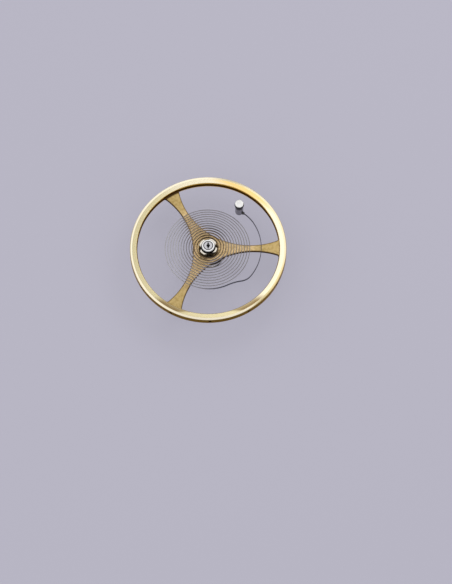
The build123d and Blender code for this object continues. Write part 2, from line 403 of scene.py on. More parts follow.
# In the settings of a piece, a zone is a colour and the rows of its mask. A reach that a
# finish reads is the two ends of a rise.
rimSettings = {
    "radius": 5.0,
    "boreRadius": 4.56,
    "top": 2.20,
    "bottom": 1.70,
    "slopeWidth": 0.14,
    "slopeDrop": 0.03,
    "boreBevel": 0.03,
    "footBevel": 0.025,
    "edgeRounding": 0.012,
    "slopeRounding": 0.02,
    "holeCount": 12,
    "holeRadius": 0.10,
    "holeDepth": 0.18,
    "holeHeight": 1.90,
    "holeChamfer": 0.012,
    "holeFloorBevel": 0.015,
    "patchSteps": 16,
    "plainSteps": 30,
    "lineScale": 26.0,
    "lineStretch": 0.012,
    "lineDepth": 0.0006,
    "lineShare": 0.2,
    "lineColour": (0.45, 0.30, 0.12),
    "patchScale": 0.35,
    # counted from the slope's foot, the bore and the slope's inner edge
    "wallReach": (0.005, -0.007),
    "boreReach": (0.028, 0.016),
    "slopeReach": (-0.02, 0.01),
    "topColour": (0.60, 0.535, 0.335),
    "topShadeColour": (0.51, 0.46, 0.275),
    # painted light on the top: a paler painted highlight on the right, a warm painted reflection
    # in one place behind, and a darker painted reflection inside the slope in front
    "topPaintedLightZones": [
        ((0.65, 0.60, 0.46), ((0.85, 0.53), -1.2, 1.2)),
        ((0.65, 0.46, 0.19), ((0.52, 0.854), 4.1, 4.7)),
        (
            (0.185, 0.13, 0.06),
            ("y", -3.2, -3.75),
            ("y", -4.5, -4.3),
            ("radius", 4.87, 4.83),
            ("radius", 4.30, 4.80),
        ),
    ],
    "slopeColour": (1.0, 0.92, 0.72),
    # a painted darker reflection on the slope's right side; the gold on its lower right and the
    # brown fringe are painted reflections too
    "slopePaintedReflectionZones": [((0.52, 0.47, 0.33), ((0.95, 0.31), 1.2, 3.2))],
    "goldReflectionRow": ((0.82, -0.57), 4.45, 4.85),
    "slopeGoldReflectionColour": (0.51, 0.44, 0.245),
    "fringeReach": (4.94, 5.0),
    "fringeGoldWidth": 0.01,
    "fringeSideReach": (0.5, 4.5),
    "fringeClearRow": ((-0.35, -0.94), 4.1, 2.9),
    "fringeReflectionColour": (0.30, 0.205, 0.08),
    # the walls' brown, partly less polished gilding and partly painted shade
    "wallColour": (0.235, 0.145, 0.02),
    "wallDarkColour": (0.135, 0.075, 0.01),
    "boreColour": (0.60, 0.345, 0.032),
    # painted shade inside the drilled holes
    "holeShadeZones": [
        ((0.035, 0.02, 0.006), ("radius", 4.99, 4.965), ("radius", 4.70, 4.75), ("z", 1.72, 1.76)),
    ],
    "grazingColour": (0.95, 0.75, 0.5),
    "roughness": 0.16,
    "roughnessSpread": 0.12,
    "wallRoughness": 0.25,
}


def makeRim(sizes):
    radius = sizes["radius"]
    top = sizes["top"]
    bottom = sizes["bottom"]
    bore = sizes["boreRadius"]
    rounding = sizes["edgeRounding"]
    boreBevel = sizes["boreBevel"]
    footBevel = sizes["footBevel"]
    wallTop = top - sizes["slopeDrop"]
    wallBottom = bottom + footBevel
    upper = wallTop - rounding * 4
    lower = wallBottom + rounding * 2
    corners = [
        (radius, upper, 0),
        (radius, wallTop, rounding),
        (radius - sizes["slopeWidth"], top, sizes["slopeRounding"]),
        (bore + boreBevel, top, rounding),
        (bore, top - boreBevel, rounding),
        (bore, wallBottom, rounding),
        (bore + footBevel, bottom, rounding),
        (radius - footBevel, bottom, rounding),
        (radius, wallBottom, rounding),
        (radius, lower, 0),
    ]
    profile = softChain(corners)
    # The outer wall is level rows by angles; round each hole a square of it is left out.
    middle = sizes["holeHeight"]
    steps = sizes["patchSteps"]
    reach = middle - lower
    above = np.linspace(middle + reach, upper, 4)
    rows = np.append(np.linspace(lower, middle + reach, steps + 1), above[1:])
    halfAngle = reach / radius
    sector = 2 * np.pi / sizes["holeCount"]
    square = np.linspace(-halfAngle, halfAngle, steps + 1)
    plain = np.linspace(halfAngle, sector - halfAngle, sizes["plainSteps"] + 1)
    starts = np.arange(sizes["holeCount"]) * sector
    sectorAngles = np.concatenate([square[:-1], plain[:-1]])
    angles = (starts[:, None] + sectorAngles[None]).ravel()
    angles = np.append(angles, angles[0] + 2 * np.pi)
    grids = [turned(*profile.T, angles)]

    # A ring of faces leads from the square's border to the hole's mouth: border (1 - t) + mouth t.
    edge = np.linspace(-1, 1, steps + 1)[:-1]
    one = np.ones(steps)
    sides = [(edge, -one), (one, edge), (-edge, one), (-one, -edge)]
    border = np.concatenate([np.stack(side, axis=-1) for side in sides])
    border = np.vstack([border, border[:1]]) * reach
    circle = border / np.linalg.norm(border, axis=1)[:, None]
    hole = sizes["holeRadius"]
    depth = sizes["holeDepth"]
    chamfer = sizes["holeChamfer"]
    floorBevel = sizes["holeFloorBevel"]
    mouth = hole + chamfer
    share = (np.linspace(0, 1, 7) ** 0.7)[:, None, None]
    ring = border[None] * (1 - share) + circle[None] * mouth * share
    # distance from the hole's axis, depth
    holeCorners = [
        (mouth, 0),
        (hole + chamfer * 0.3, chamfer * 0.3),
        (hole, chamfer),
        (hole, chamfer * 1.5),
        (hole, depth / 2),
        (hole, depth - floorBevel * 2),
        (hole - floorBevel, depth - floorBevel),
        (hole / 2, depth - floorBevel / 3),
        (0, depth),
    ]
    wall = np.array(holeCorners)
    inside = circle[None] * wall[:, 0][:, None, None]
    flat = np.concatenate([ring, inside[1:]])
    depths = np.concatenate([np.zeros(len(ring)), wall[1:, 1]])[:, None]
    turn = flat[..., 0] / radius
    distance = radius - depths
    level = flat[..., 1] + middle
    holeGrid = np.stack([distance * np.cos(turn), distance * np.sin(turn), level], axis=-1)
    aboveGrid = turned(np.full(len(above), radius), above, square)
    plainGrid = turned(np.full(len(rows), radius), rows, plain)
    for start in starts:
        grids += [spun(grid, start) for grid in (holeGrid, aboveGrid, plainGrid)]
    finish = giltRimFinish(sizes)
    makePiece("wheelRim", grids, finish, "balance", "balance_wheel")


armSettings = {
    "top": 2.04,
    "thickness": 0.18,
    "waist": 0.42,
    "hubWaistRadius": 0.965,
    "windowOuterRadius": 4.53,
    "cornerRadius": 0.15,
    "boreRadius": 0.50,
    "outerRadius": 4.60,
    "edgeRounding": 0.022,
    "armCount": 3,
    "hubSweep": 0.20,
    # steps along the outer circle, the rounded corner, the big circle and the hub
    "outlineSteps": (60, 16, 90, 24),
    "grainScale": 13.0,
    "grainDepth": 0.0015,
    "mottleScale": 5.5,
    "mottleReach": (0.42, 0.62),
    "patchScale": 0.7,
    "colour": (0.70, 0.555, 0.34),
    "warmColour": (0.70, 0.50, 0.285),
    "mottleTint": (0.83, 0.81, 0.73),
    "grainTint": (0.74, 0.71, 0.64),
    "outwardZones": [((0.49, 0.368, 0.168), ("radius", 2.2, 3.6))],
    # behind, the rim's step throws its shade on the end of the arm
    "stepZones": [((0.045, 0.024, 0.008), ("radius", 4.32, 4.44), ("y", 0.6, 2.0))],
    "edgeShare": 0.85,
    "edgeColour": (0.10, 0.06, 0.025),
    # painted shade on the arms' side walls
    "sideReach": (-0.012, -0.03),
    "sideShadeColour": (0.02, 0.01, 0.004),
    "grazingColour": (0.6, 0.45, 0.3),
    "roughness": 0.42,
    "roughnessSpread": 0.3,
}


def makeArms(sizes):
    sectorHalf = np.pi / sizes["armCount"]
    outer = sizes["windowOuterRadius"]
    corner = sizes["cornerRadius"]
    centre = (sizes["hubWaistRadius"] - sizes["waist"] / 2) / (1 - np.sin(sectorHalf))
    radius = centre - sizes["hubWaistRadius"]
    filletX = ((outer - corner) ** 2 - (radius - corner) ** 2 + centre**2) / (2 * centre)
    filletY = np.sqrt((outer - corner) ** 2 - filletX**2)
    fillet = np.array([filletX, filletY])

    # Half of a window's outline, from its outer middle round to the hub, with the direction
    # that points into the metal: arc of the outer circle, rounded corner, arc of the big circle.
    startTurn = np.arctan2(filletY, filletX)
    endTurn = np.arctan2(filletY, filletX - centre)
    hubStart = np.pi - sizes["hubSweep"]
    outerSteps, cornerSteps, armSteps, hubSteps = sizes["outlineSteps"]
    outerTurn = np.linspace(0, startTurn, outerSteps + 1)
    filletTurn = np.linspace(startTurn, endTurn, cornerSteps + 1)
    armTurn = np.linspace(endTurn, hubStart, armSteps + 1)
    hubTurn = np.linspace(hubStart, np.pi, hubSteps + 1)
    aboutTurn = np.concatenate([outerTurn, filletTurn[1:], armTurn[1:], hubTurn[1:]])
    counts = (outerSteps + 1, cornerSteps, armSteps + hubSteps)
    radii = np.repeat([outer, corner, radius], counts)
    centres = np.repeat([[0, 0], fillet, [centre, 0]], counts, axis=0)
    inward = towards(aboutTurn)
    outline = centres + inward * radii[:, None]

    # The other side of the metal: the outer circle, the arm's middle line, then the bore.
    outerCount = outerSteps + 1 + cornerSteps // 2
    boreCount = hubSteps + 1
    armCount = len(outline) - outerCount - boreCount
    along = np.linspace(sizes["outerRadius"], sizes["boreRadius"], armCount + 2)[1:-1]
    outerArc = towards(np.linspace(0, sectorHalf, outerCount)) * sizes["outerRadius"]
    boreArc = towards(np.linspace(sectorHalf, 0, boreCount)) * sizes["boreRadius"]
    farSide = np.vstack([outerArc, along[:, None] * towards(sectorHalf), boreArc])

    # Across the metal: up the window's wall, over a rounded edge and along the top face.
    top = sizes["top"]
    half = sizes["thickness"] / 2
    rounding = sizes["edgeRounding"]
    edge = softChain([(0, 0, 0), (0, half, rounding), (rounding * 3, half, 0)])
    rim = outline[None] + inward[None] * edge[:, 0][:, None, None]
    share = np.array([0.3, 0.65, 1.0])[:, None, None]
    plate = rim[-1][None] * (1 - share) + farSide[None] * share
    upperFlat = np.concatenate([rim, plate])
    upperLevel = np.concatenate([edge[:, 1], np.full(len(share), half)])
    flat = np.concatenate([upperFlat[::-1], upperFlat[1:]])
    level = np.concatenate([-upperLevel[::-1], upperLevel[1:]]) + top - half
    upward = np.broadcast_to(level[:, None, None], (*flat.shape[:2], 1))
    web = np.concatenate([flat, upward], axis=-1)
    ends = web[[0, -1]]
    # The painted shade along the edges is 1 on the walls and falls to 0 a little way in from the
    # outline.
    upperEdgeShade = np.append(np.ones(len(edge) - 1), np.zeros(len(share) + 1))
    edgeShadeRows = np.concatenate([upperEdgeShade[::-1], upperEdgeShade[1:]])
    webEdgeShade = np.repeat(edgeShadeRows, web.shape[1])
    endEdgeShade = np.zeros((outerCount + boreCount) * 2)
    faces = (web, ends[:, :outerCount], ends[:, -boreCount:])
    grids = []
    edgeShades = []
    for number in range(sizes["armCount"]):
        middle = sectorHalf * (2 * number + 1)
        for mirrored in (False, True):
            grids += [spun(face, middle, mirrored) for face in faces]
            edgeShades += [webEdgeShade, endEdgeShade]
    finish = giltArmFinish(sizes)
    values = ("edgeShade", np.concatenate(edgeShades).astype(np.float32))
    makePiece("wheelArms", grids, finish, "balance", "balance_wheel", values)


makeRim(rimSettings)
makeArms(armSettings)

staffSettings = {
    # distance from the axis, height, rounding
    "foot": [(0, 0, 0), (0.04, 0, 0.005), (0.05, 0.01, 0.005), (0.05, 0.16, 0)],
    "trumpet": {"from": (0.05, 0.16), "to": (0.13, 0.34), "hollow": 0.36},
    "body": [
        (0.13, 0.34, 0),
        (0.18, 0.34, 0.008),
        (0.21, 0.37, 0.008),
        (0.21, 1.05, 0.005),
        (0.25, 1.05, 0.005),
        (0.25, 1.58, 0.005),
        (0.56, 1.58, 0.012),
        (0.56, 1.86, 0.012),
        (0.50, 1.86, 0.005),
        (0.50, 2.04, 0.005),
        (0.55, 2.04, 0.008),
        (0.55, 2.06, 0.008),
        (0.43, 2.08, 0.005),
        (0.43, 2.59, 0.012),
        (0.40, 2.62, 0.012),
        (0.305, 2.62, 0.005),
        (0.305, 2.59, 0.005),
        (0.275, 2.59, 0.005),
        (0.275, 2.62, 0.005),
        (0.11, 2.62, 0.002),
        (0.10, 2.62, 0),
    ],
    "cone": {"from": (0.10, 2.62), "to": (0.05, 2.82), "hollow": 0.60},
    "head": [(0.05, 2.82, 0), (0.05, 2.99, 0.006), (0.04, 3.0, 0.006), (0, 3.0, 0)],
    "angleSteps": 144,
    "markScale": 30.0,
    "markDepth": 0.0004,
    "patchScale": 1.5,
    "colour": (0.54, 0.54, 0.56),
    "darkColour": (0.47, 0.47, 0.495),
    # top face inside the groove, cone's foot, top face outside it, pivot, groove, shaft, seat; the
    # face inside the groove, the groove, the shaft and the seat are painted shade, and the cone's
    # foot and the pivot are painted black as a painted dark reflection
    "zones": [
        ((0.28, 0.28, 0.30), ("z", 2.60, 2.64, 0.004), ("radius", 0.115, 0.262, 0.004)),
        ((0.01, 0.01, 0.012), ("z", 2.60, 2.64, 0.006), ("radius", -1.0, 0.115, 0.006)),
        ((0.43, 0.43, 0.44), ("z", 2.60, 2.64, 0.004), ("radius", 0.318, 1.0, 0.004)),
        ((0.004, 0.004, 0.005), ("z", 2.624, 3.10, 0.002)),
        ((0.012, 0.012, 0.014), ("z", 2.57, 2.64, 0.004), ("radius", 0.262, 0.318, 0.004)),
        ((0.015, 0.014, 0.013), ("z", 2.09, 2.59, 0.008)),
        ((0.05, 0.042, 0.035), ("z", 2.03, 2.085, 0.008)),
    ],
    "roughness": 0.05,
    "roughnessSpread": 0.06,
}


# A hollow cone's side: the arc of the given radius that bulges towards the axis.
def hollowSide(cone, steps=12):
    start = np.array(cone["from"])
    end = np.array(cone["to"])
    chord = end - start
    length = np.linalg.norm(chord)
    sideways = np.array([-chord[1], chord[0]]) / length
    if sideways[0] > 0:
        sideways = -sideways
    sag = np.sqrt(cone["hollow"] ** 2 - length**2 / 4)
    centre = (start + end) / 2 - sideways * sag
    first = np.arctan2(*(start - centre)[::-1])
    last = np.arctan2(*(end - centre)[::-1])
    sweep = (last - first + np.pi) % (2 * np.pi) - np.pi
    turn = first + sweep * np.linspace(0, 1, steps + 1)
    return centre + cone["hollow"] * towards(turn)


def makeStaff(sizes):
    runs = [
        softChain(sizes["foot"]),
        hollowSide(sizes["trumpet"])[1:-1],
        softChain(sizes["body"]),
        hollowSide(sizes["cone"])[1:-1],
        softChain(sizes["head"]),
    ]
    profile = np.vstack(runs)
    grid = turned(*profile.T, fullTurn(sizes["angleSteps"]))
    finish = steelFinish("staffSteel", sizes)
    makePiece("staffArbor", [grid], finish, "balance", "balance_staff")


makeStaff(staffSettings)

colletSettings = {
    "bottom": 2.10,
    "top": 2.42,
    "boreRadius": 0.43,
    "boreBevel": 0.004,
    "lobeRadius": 0.60,
    "lobeAngle": 52.6,
    "lobeCount": 4,
    "notch": (0.76, 0.28, 0.006),  # distance of its centre, radius, softness
    "bevel": 0.025,
    "bevelRounding": 0.008,
    "footRounding": 0.006,
    "faceReach": (0.05, 0.045),  # how far the bottom and the top go in from the outline
    "angleSteps": 360,
    "markScale": 24.0,
    "markDepth": 0.0005,
    "patchScale": 2.0,
    "colour": (0.62, 0.585, 0.52),
    "darkColour": (0.52, 0.48, 0.425),
    "zones": [
        # painted shade on the side walls, then in front in the gap round the staff
        ((0.03, 0.026, 0.023), ("z", 2.0, 2.385, 0.01)),
        (
            (0.015, 0.014, 0.013),
            ("z", 2.38, 2.5, 0.008),
            ("radius", 0.0, 0.487, 0.008),
            ("y", 0.25, 0.0),
        ),
        # painted shade darkens the front edge of the collet's top
        ((0.015, 0.012, 0.01), ("z", 2.38, 2.5, 0.008), ((0.22, -0.975), 0.44, 0.48)),
    ],
    "roughness": 0.20,
    "roughnessSpread": 0.15,
}


# Distance to a round notch along each direction: d cos a - sqrt(r^2 - d^2 sin^2 a), and the
# plain radius where the direction misses it. The two meet in a soft minimum.
def notchedRadius(angles, plain, notchAngle, centre, size, softness):
    offset = (angles - notchAngle + np.pi) % (2 * np.pi) - np.pi
    across = centre * np.sin(offset)
    hits = (np.abs(across) < size) & (np.cos(offset) > 0)
    depth = np.sqrt(np.maximum(size**2 - across**2, 0))
    notch = np.where(hits, centre * np.cos(offset) - depth, 2 * plain)
    middle = (plain + notch) / 2
    return middle - np.sqrt(((notch - plain) / 2) ** 2 + softness**2) + softness / 2


def makeCollet(sizes):
    angles = fullTurn(sizes["angleSteps"])
    lobe = sizes["lobeRadius"]
    sector = 360 / sizes["lobeCount"]
    outline = np.full(len(angles), lobe)
    for number in range(sizes["lobeCount"]):
        notchAngle = np.radians(sizes["lobeAngle"] + (number + 0.5) * sector)
        outline = np.minimum(outline, notchedRadius(angles, lobe, notchAngle, *sizes["notch"]))
    bottom = sizes["bottom"]
    top = sizes["top"]
    bevel = sizes["bevel"]
    rounding = sizes["bevelRounding"]
    foot = sizes["footRounding"]
    bottomReach, topReach = sizes["faceReach"]
    outsideCorners = [
        (-bottomReach, bottom, 0),
        (-foot, bottom, foot),
        (0, bottom + foot, foot),
        (0, top - bevel, rounding),
        (-bevel, top, rounding),
        (-topReach, top, 0),
    ]
    outside = softChain(outsideCorners)
    bore = sizes["boreRadius"]
    boreBevel = sizes["boreBevel"]
    insideCorners = [
        (bore + boreBevel, top, 0),
        (bore + boreBevel * 0.75, top, boreBevel / 4),
        (bore, top - boreBevel, boreBevel / 4),
        (bore, bottom, 0),
    ]
    inside = softChain(insideCorners)
    outsideRows = np.maximum(outline[None] + outside[:, 0][:, None], bore + boreBevel)
    insideRows = np.repeat(inside[:, 0][:, None], len(angles), axis=1)
    distance = np.vstack([outsideRows, insideRows, outsideRows[:1]])
    height = np.concatenate([outside[:, 1], inside[:, 1], outside[:1, 1]])
    grid = turned(distance, height, angles)
    finish = steelFinish("colletSteel", sizes)
    makePiece("springCollet", [grid], finish, "balance", "collet")


makeCollet(colletSettings)

rollerSettings = {
    # distance from the axis, height, rounding
    "profile": [
        (0.25, 1.05, 0),
        (0.535, 1.05, 0.008),
        (0.55, 1.065, 0.008),
        (0.55, 1.205, 0.008),
        (0.535, 1.22, 0.008),
        (0.40, 1.22, 0.02),
        (0.40, 1.32, 0.02),
        (1.02, 1.32, 0.012),
        (1.05, 1.35, 0.012),
        (1.05, 1.55, 0.012),
        (1.02, 1.58, 0.012),
        (0.25, 1.58, 0),
    ],
    "crescentTop": 1.25,
    "crescentAngle": np.pi,
    "crescent": (0.62, 0.20, 0.004),  # distance of its centre, radius, softness
    "angleSteps": 240,
    "markScale": 20.0,
    "markDepth": 0.0006,
    "patchScale": 1.2,
    "colour": (0.74, 0.70, 0.68),
    "darkColour": (0.56, 0.53, 0.52),
    # painted shade on the table's side and underside
    "zones": [((0.03, 0.024, 0.024), ("z", 1.30, 1.555, 0.006))],
    "roughness": 0.26,
    "roughnessSpread": 0.15,
}
jewelSettings = {
    "orbit": 0.80,
    "radius": 0.14,
    "flat": 0.07,
    "bottom": 0.93,
    "top": 1.57,
    "bevel": 0.012,
    "rounding": 0.004,
    "angleSteps": 120,
    "colour": (0.62, 0.012, 0.055),
    "cloudColour": (0.42, 0.006, 0.03),
    "cloudScale": 6.0,
    "cloudDepth": 0.0,
    "roughness": 0.04,
    "refraction": 1.77,
    "transmission": 0.75,
    "coat": 0.0,
}
shellacSettings = {
    "radius": 0.19,
    "height": 0.06,
    "foot": 1.575,
    "skirt": 0.005,
    "waviness": 0.012,
    "angleSteps": 60,
    "riseSteps": 12,
    "colour": (0.20, 0.060, 0.012),
    "cloudColour": (0.10, 0.028, 0.006),
    "cloudScale": 14.0,
    "cloudDepth": 0.002,
    "roughness": 0.18,
    "refraction": 1.52,
    "transmission": 0.25,
    "coat": 0.3,
}


def makeRoller(sizes):
    angles = fullTurn(sizes["angleSteps"])
    profile = softChain(sizes["profile"])
    height = profile[:, 1]
    farOut = 2.0
    cut = notchedRadius(angles, farOut, sizes["crescentAngle"], *sizes["crescent"])
    plain = np.repeat(profile[:, 0][:, None], len(angles), axis=1)
    safety = height < sizes["crescentTop"]
    distance = np.where(safety[:, None], np.minimum(plain, cut[None]), plain)
    grid = turned(np.vstack([distance, distance[:1]]), np.append(height, height[0]), angles)
    finish = steelFinish("rollerSteel", sizes)
    makePiece("rollerTable", [grid], finish, "balance", "double_roller")


# The jewel's outline is a circle cut by a straight line: distance = min(r, flat / cos a),
# where a is measured from the direction in which the flat faces.
def makeJewel(sizes):
    angles = fullTurn(sizes["angleSteps"])
    leastCosine = 0.01
    facing = np.maximum(np.cos(angles - np.pi), leastCosine)
    radius = sizes["radius"]
    outline = np.minimum(radius, sizes["flat"] / facing)
    bottom = sizes["bottom"]
    top = sizes["top"]
    bevel = sizes["bevel"]
    rounding = sizes["rounding"]
    corners = [
        (-radius, bottom, 0),
        (-bevel, bottom, rounding),
        (0, bottom + bevel, rounding),
        (0, top, rounding),
        (-radius, top, 0),
    ]
    rows = softChain(corners)
    distance = np.maximum(outline[None] + rows[:, 0][:, None], 0)
    grid = turned(distance, rows[:, 1], angles, (-sizes["orbit"], 0))
    finish = resinFinish("rubyJewel", sizes)
    makePiece("rollerJewel", [grid], finish, "balance", "impulse_jewel")


# A drop with a wavy edge: distance = r sin t (1 + waves), height = foot + h cos^0.8 t.
def makeShellac(sizes):
    angles = fullTurn(sizes["angleSteps"])
    rise = np.linspace(0, np.pi / 2, sizes["riseSteps"] + 1)
    waviness = sizes["waviness"]
    foot = sizes["foot"]
    waves = 1 + waviness * (np.sin(3 * angles + 0.6) + 0.6 * np.sin(5 * angles))
    span = sizes["radius"] * (1 - 2 * waviness)
    distance = np.sin(rise)[:, None] * span * waves[None]
    height = foot + sizes["skirt"] + sizes["height"] * np.cos(rise) ** 0.8
    distance = np.vstack([distance, distance[-1:], np.zeros((1, len(angles)))])
    height = np.append(height, [foot, foot])
    grid = turned(distance, height, angles, (-jewelSettings["orbit"], 0))
    finish = resinFinish("shellacDrop", sizes)
    makePiece("shellacDrop", [grid], finish, "balance", "jewel_shellac")


makeRoller(rollerSettings)
makeJewel(jewelSettings)
makeShellac(shellacSettings)

springSettings = {
    "thickness": 0.04,
    "height": 0.12,
    "middle": 2.34,
    "quarterTurns": 51,
    "outerRadius": 2.77,
    "innerRadius": 0.62,
    "endAngle": -65.4,
    "firstSweep": 62.0,
    "drift": 0.12,
    # radius and turn of the raised-out outer curve, then the straight run to the stud
    "outerCurve": [(2.99, -17.6), (0.93, 44.4), (3.26, 68.9), (2.33, 25.0)],
    "studReach": 0.26,
    "tail": 0.20,
    "degreesPerStep": 2.5,
    "edgeRounding": 0.007,
    "markScale": 8.0,
    "markDepth": 0.0003,
    "patchScale": 0.9,
    "faceColour": (0.97, 0.96, 0.97),
    "faceDarkColour": (0.90, 0.89, 0.90),
    # painted shade towards the collet, then a painted reflection of the gilt over the hub; the
    # edge also has a painted highlight on the left
    "facePaintedLightZones": [
        ((0.60, 0.56, 0.54), ("radius", 1.8, 0.9)),
        ((0.55, 0.49, 0.43), ("radius", 1.05, 0.9)),
    ],
    "edgeHeight": (2.386, 2.396),
    # the top edge's dark colour is painted shade
    "edgeColour": (0.145, 0.137, 0.135),
    "edgePaintedLightZones": [
        ((0.30, 0.295, 0.30), ("x", -1.3, -2.1)),
        ((0.075, 0.065, 0.06), ("radius", 1.8, 0.9)),
        ((0.065, 0.045, 0.03), ("radius", 1.05, 0.9)),
    ],
    "outerCurveReach": (0.018, 0.0),
    "outerCurveColour": (0.05, 0.05, 0.065),
    "roughness": 0.26,
    "roughnessSpread": 0.14,
}


# Arcs of a quarter turn that meet at tangents. Each radius is larger than the last by a
# quarter of the pitch, and by a little more on one side, which makes the outer turns drift.
def springArcs(sizes):
    growth = (sizes["outerRadius"] - sizes["innerRadius"]) / sizes["quarterTurns"]
    turns = sizes["quarterTurns"] / 4
    startAngle = sizes["endAngle"] - 90 * sizes["quarterTurns"] - sizes["firstSweep"]
    firstJoint = startAngle + sizes["firstSweep"]
    joint = np.radians([firstJoint, firstJoint + 90])
    centre = towards(joint).sum(axis=0) * growth / 2
    outward = towards(np.radians(startAngle))
    firstRadius = sizes["innerRadius"] - centre @ outward
    quarters = np.arange(sizes["quarterTurns"])
    driftPerTurn = 2 * sizes["drift"] * (quarters / 4) / turns**2
    steps = growth + driftPerTurn / 2 * np.sin(np.radians(firstJoint + 90 * quarters))
    radii = firstRadius + np.cumsum(steps)
    arcs = [(firstRadius, sizes["firstSweep"])]
    arcs += [(radius, 90.0) for radius in radii]
    arcs += sizes["outerCurve"]
    return centre + outward * firstRadius, np.radians(startAngle + 90), arcs


# Follows arcs one after the other: point = centre - radius times the heading's left.
def followArcs(start, heading, arcs, degreesPerStep):
    points = [start[None]]
    headings = [np.array([heading])]
    lengths = [np.array([0.0])]
    for radius, turn in arcs:
        steps = max(2, int(np.ceil(abs(turn) / degreesPerStep)))
        sign = np.sign(turn)
        centre = start + sign * radius * towards(heading + np.pi / 2)
        share = np.linspace(0, 1, steps + 1)[1:]
        swept = heading + np.radians(turn) * share
        run = centre - sign * radius * towards(swept + np.pi / 2)
        points.append(run)
        headings.append(swept)
        lengths.append(lengths[-1][-1] + np.radians(abs(turn)) * radius * share)
        start = run[-1]
        heading = swept[-1]
    return np.vstack(points), np.concatenate(headings), np.concatenate(lengths)


def roundedBox(halfWidth, halfHeight, rounding, steps=3):
    corners = [
        (0, -halfHeight, 0),
        (halfWidth, -halfHeight, rounding),
        (halfWidth, halfHeight, rounding),
        (-halfWidth, halfHeight, rounding),
        (-halfWidth, -halfHeight, rounding),
        (0, -halfHeight, 0),
    ]
    return softChain(corners, steps)


springStart, springHeading, arcsOfSpring = springArcs(springSettings)
springPath, springHeadings, springLengths = followArcs(
    springStart, springHeading, arcsOfSpring, springSettings["degreesPerStep"]
)
studHeading = springHeadings[-1]
studDirection = towards(studHeading)
studCentre = springPath[-1] + studDirection * springSettings["studReach"]
coilLength = springLengths[-1] - sum(
    radius * np.radians(abs(turn)) for radius, turn in springSettings["outerCurve"]
)


def makeSpring(sizes):
    tailLength = sizes["studReach"] + sizes["tail"]
    path = np.vstack([springPath, springPath[-1] + studDirection * tailLength])
    heading = np.append(springHeadings, studHeading)
    length = np.append(springLengths, springLengths[-1] + tailLength)
    # Each end is closed by a smaller section and then a point.
    path = np.pad(path, ((2, 2), (0, 0)), "edge")
    heading = np.pad(heading, 2, "edge")
    length = np.pad(length, 2, "edge")
    scale = np.ones(len(path))
    scale[[0, -1]] = 0
    scale[[1, -2]] = 0.8
    section = roundedBox(sizes["thickness"] / 2, sizes["height"] / 2, sizes["edgeRounding"])
    grid = carried(path, heading, section, scale, sizes["middle"])
    # The share of the collet's turn each point is given, by its length along the coil: 1 at the
    # collet, falling to 0 where the outer curve starts, and 0 on the outer curve.
    shares = np.repeat(np.clip(1 - length / coilLength, 0, 1), len(section)).astype(np.float32)
    finish = springFinish(sizes)
    values = ("turnShare", shares)
    piece = makePiece("hairspringStrip", [grid], finish, None, "hairspring", values)
    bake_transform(piece)
    turnShare = piece.data.attributes["turnShare"]
    kept = np.empty(len(piece.data.vertices), np.float32)
    turnShare.data.foreach_get("value", kept)


makeSpring(springSettings)

studSettings = {
    # distance from the stud's axis, height, rounding
    "profile": [
        (0, 2.20, 0),
        (0.23, 2.20, 0.008),
        (0.26, 2.23, 0.008),
        (0.26, 3.27, 0.006),
        (0.305, 3.27, 0.01),
        (0.27, 3.45, 0.02),
        (0, 3.45, 0),
    ],
    "angleSteps": 144,
    "markScale": 16.0,
    "markDepth": 0.0008,
    "patchScale": 5.0,
    "colour": (0.62, 0.62, 0.62),
    "darkColour": (0.40, 0.40, 0.405),
    "zones": [
        # painted shade on the pillar's sides, darker near and on the head
        ((0.28, 0.27, 0.285), ("z", 2.0, 3.425, 0.01)),
        ((0.05, 0.047, 0.05), ("z", 2.98, 3.43, 0.02)),
    ],
    "roughness": 0.20,
    "roughnessSpread": 0.12,
}
resinSettings = {
    "slotReach": 0.267,
    "slotHalfWidth": 0.062,
    "slotBottom": 2.192,
    "slotTop": 2.484,
    "slotRounding": 0.012,
    # from the stud's axis back along the spring
    "beadStart": 0.19,
    "beadPlace": 0.30,
    "beadRadius": 0.10,
    "tailPlace": 0.56,
    "tailLength": 0.22,
    "tailRadius": 0.036,
    "beadSteps": 32,
    "aroundSteps": 24,
    "colour": (0.006, 0.006, 0.006),
    "cloudColour": (0.012, 0.011, 0.011),
    "cloudScale": 9.0,
    "cloudDepth": 0.001,
    "roughness": 0.22,
    "refraction": 1.5,
    "transmission": 0.0,
    "coat": 0.4,
}


def makeStud(sizes):
    profile = softChain(sizes["profile"])
    grid = turned(*profile.T, fullTurn(sizes["angleSteps"]), studCentre)
    finish = steelFinish("studSteel", sizes, studCentre.tolist())
    makePiece("studPillar", [grid], finish, "stud_and_spring", "stud")


